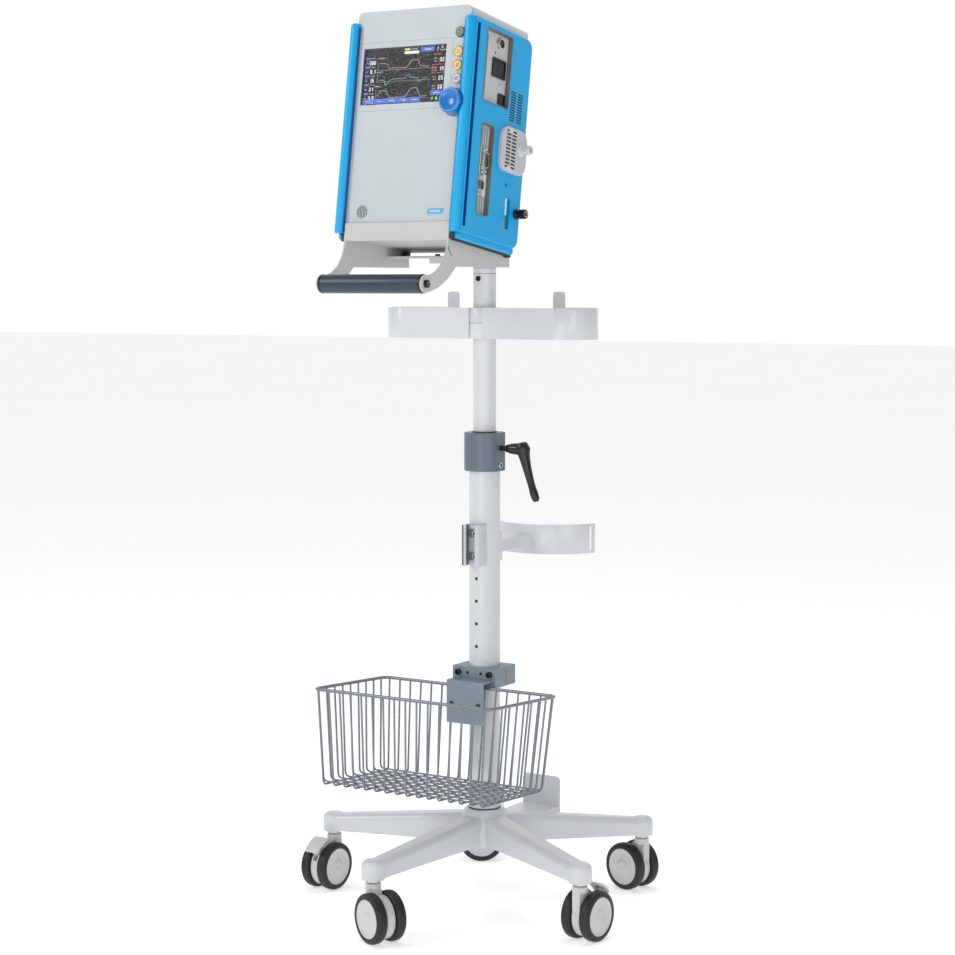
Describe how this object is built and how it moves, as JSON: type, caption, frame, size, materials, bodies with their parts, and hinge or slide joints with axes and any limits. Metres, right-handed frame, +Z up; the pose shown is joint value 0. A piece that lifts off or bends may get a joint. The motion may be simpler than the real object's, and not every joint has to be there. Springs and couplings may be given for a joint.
{
  "type": "patient monitor on a wheeled stand",
  "caption": "Upright bedside monitor with screen, keys and rotary knob, leaning back on a telescopic mast with basket, hose hooks and a star base on twin-wheel casters.",
  "frame": {"origin": "on the floor, under the middle of the whole object's bounding box", "axes": "+Z up, -Y the side the screen faces, +X to the right of a person who faces the screen"},
  "size_m": [0.5432, 0.5684, 1.3534],
  "materials": {
    "white_paint": "powder coat, satin",
    "steel_screws": "plated steel",
    "caster_plastic": "moulded, satin",
    "tyre_rubber": "matt",
    "brake_plastic": "moulded, satin",
    "black_plastic": "moulded, fine grain",
    "bush_plastic": "turned",
    "slate_paint": "powder coat, satin",
    "basket_coat": "grey coated wire",
    "bracket_metal": "satin",
    "socket_screws": "black oxide",
    "grip_rod_steel": "drawn",
    "grip_foam": "ribbed foam rubber",
    "case_white": "satin",
    "front_white": "satin",
    "blue_plastic": "moulded, glossy",
    "screen_cover": "clear",
    "screen_black": "lit panel",
    "knob_blue": "moulded, satin",
    "button_green": "moulded",
    "button_amber": "moulded",
    "button_grey": "moulded",
    "panel_grey": "satin",
    "socket_black": "moulded",
    "board_green": "laminate"
  },
  "bodies": {
    "base": {"star_base": "white_paint", "caster_stems": "steel_screws", "lower_tube": "white_paint", "clamp_collar": "slate_paint", "lower_socket_screws": "socket_screws", "rail_bracket": "bracket_metal", "cylinder_cradle": "white_paint", "foot_bracket": "white_paint", "clamp_half_front": "slate_paint", "clamp_half_rear": "slate_paint", "basket_hanger": "slate_paint", "basket_rim": "basket_coat", "basket_wires": "basket_coat"},
    "mast_bush": {"guide_bush": "bush_plastic"},
    "lever": {"clamp_lever": "black_plastic"},
    "head": {"upper_tube": "white_paint", "mast_head": "white_paint", "hose_hook_strips": "white_paint", "hook_clamp": "white_paint", "tray": "white_paint", "grip_rod": "grip_rod_steel", "grip_sleeve": "grip_foam", "upper_socket_screws": "socket_screws", "rear_case": "case_white", "front_panel": "front_white", "right_cover": "blue_plastic", "left_cover": "blue_plastic", "screen_glass": "screen_cover", "display_panel": "screen_black", "encoder": "socket_black", "connector_panels": "panel_grey", "sockets": "socket_black", "valve_cover": "panel_grey", "valve_port": "panel_grey", "gas_inlet": "black_plastic", "main_board": "board_green", "battery_pack": "socket_black", "speaker": "socket_black"},
    "knob": {"knob": "knob_blue"},
    "caster_1": {"caster_frame_1": "caster_plastic"},
    "wheels_1": {"wheel_cores_1": "caster_plastic", "tyres_1": "tyre_rubber"},
    "pedal_1": {"brake_pedal_1": "brake_plastic"},
    "caster_2": {"caster_frame_2": "caster_plastic"},
    "wheels_2": {"wheel_cores_2": "caster_plastic", "tyres_2": "tyre_rubber"},
    "caster_3": {"caster_frame_3": "caster_plastic"},
    "wheels_3": {"wheel_cores_3": "caster_plastic", "tyres_3": "tyre_rubber"},
    "pedal_3": {"brake_pedal_3": "brake_plastic"},
    "caster_4": {"caster_frame_4": "caster_plastic"},
    "wheels_4": {"wheel_cores_4": "caster_plastic", "tyres_4": "tyre_rubber"},
    "caster_5": {"caster_frame_5": "caster_plastic"},
    "wheels_5": {"wheel_cores_5": "caster_plastic", "tyres_5": "tyre_rubber"},
    "button_green": {"button_green": "button_green"},
    "button_amber_upper": {"button_amber_upper": "button_amber"},
    "button_amber_lower": {"button_amber_lower": "button_amber"},
    "button_grey": {"button_grey": "button_grey"}
  },
  "joints": [
    {"name": "caster_swivel_1", "type": "hinge", "parent": "base", "child": "caster_1", "pos_m": [-0.24398, -0.01772, 0.08], "axis": [0, 0, 1], "continuous": true},
    {"name": "wheel_spin_1", "type": "hinge", "parent": "caster_1", "child": "wheels_1", "pos_m": [-0.24517, -0.03768, 0.0375], "axis": [0.9982, -0.0593, 0], "continuous": true},
    {"name": "brake_press_1", "type": "hinge", "parent": "caster_1", "child": "pedal_1", "pos_m": [-0.24611, -0.05365, 0.057], "axis": [0.9982, -0.0593, 0], "range_deg": [0, 12]},
    {"name": "caster_swivel_2", "type": "hinge", "parent": "base", "child": "caster_2", "pos_m": [-0.02398, -0.22649, 0.08], "axis": [0, 0, 1], "continuous": true},
    {"name": "wheel_spin_2", "type": "hinge", "parent": "caster_2", "child": "wheels_2", "pos_m": [-0.00578, -0.23479, 0.0375], "axis": [0.4147, 0.91, 0], "continuous": true},
    {"name": "caster_swivel_3", "type": "hinge", "parent": "base", "child": "caster_3", "pos_m": [0.24257, -0.08177, 0.08], "axis": [0, 0, 1], "continuous": true},
    {"name": "wheel_spin_3", "type": "hinge", "parent": "caster_3", "child": "wheels_3", "pos_m": [0.24431, -0.06185, 0.0375], "axis": [-0.9962, 0.0872, 0], "continuous": true},
    {"name": "brake_press_3", "type": "hinge", "parent": "caster_3", "child": "pedal_3", "pos_m": [0.2457, -0.04591, 0.057], "axis": [-0.9962, 0.0872, 0], "range_deg": [0, 12]},
    {"name": "caster_swivel_4", "type": "hinge", "parent": "base", "child": "caster_4", "pos_m": [0.1873, 0.21645, 0.08], "axis": [0, 0, 1], "continuous": true},
    {"name": "wheel_spin_4", "type": "hinge", "parent": "caster_4", "child": "wheels_4", "pos_m": [0.16798, 0.22162, 0.0375], "axis": [-0.2588, -0.9659, 0], "continuous": true},
    {"name": "caster_swivel_5", "type": "hinge", "parent": "base", "child": "caster_5", "pos_m": [-0.11341, 0.25603, 0.08], "axis": [0, 0, 1], "continuous": true},
    {"name": "wheel_spin_5", "type": "hinge", "parent": "caster_5", "child": "wheels_5", "pos_m": [-0.13037, 0.24544, 0.0375], "axis": [0.5299, -0.848, 0], "continuous": true},
    {"name": "clamp_turn", "type": "hinge", "parent": "base", "child": "lever", "pos_m": [0.0597, 0.0293, 0.71], "axis": [1, 0, 0], "range_deg": [0, 110]},
    {"name": "mast_turn", "type": "hinge", "parent": "base", "child": "mast_bush", "pos_m": [0.0097, 0.0293, 0.669], "axis": [0, 0, 1], "continuous": true},
    {"name": "mast_slide", "type": "slide", "parent": "mast_bush", "child": "head", "axis": [0, 0, 1], "range_m": [-0.12, 0.17]},
    {"name": "knob_turn", "type": "hinge", "parent": "head", "child": "knob", "pos_m": [0.0907, -0.18927, 1.21715], "axis": [0, -0.989, 0.1478], "continuous": true},
    {"name": "button_green_press", "type": "slide", "parent": "head", "child": "button_green", "axis": [0, 0.989, -0.1478], "range_m": [0, 0.0015], "stiffness_N_per_m": 400, "springref_m": -0.0005},
    {"name": "button_amber_upper_press", "type": "slide", "parent": "head", "child": "button_amber_upper", "axis": [0, 0.989, -0.1478], "range_m": [0, 0.0015], "stiffness_N_per_m": 400, "springref_m": -0.0005},
    {"name": "button_amber_lower_press", "type": "slide", "parent": "head", "child": "button_amber_lower", "axis": [0, 0.989, -0.1478], "range_m": [0, 0.0015], "stiffness_N_per_m": 400, "springref_m": -0.0005},
    {"name": "button_grey_press", "type": "slide", "parent": "head", "child": "button_grey", "axis": [0, 0.989, -0.1478], "range_m": [0, 0.0015], "stiffness_N_per_m": 400, "springref_m": -0.0005}
  ]
}
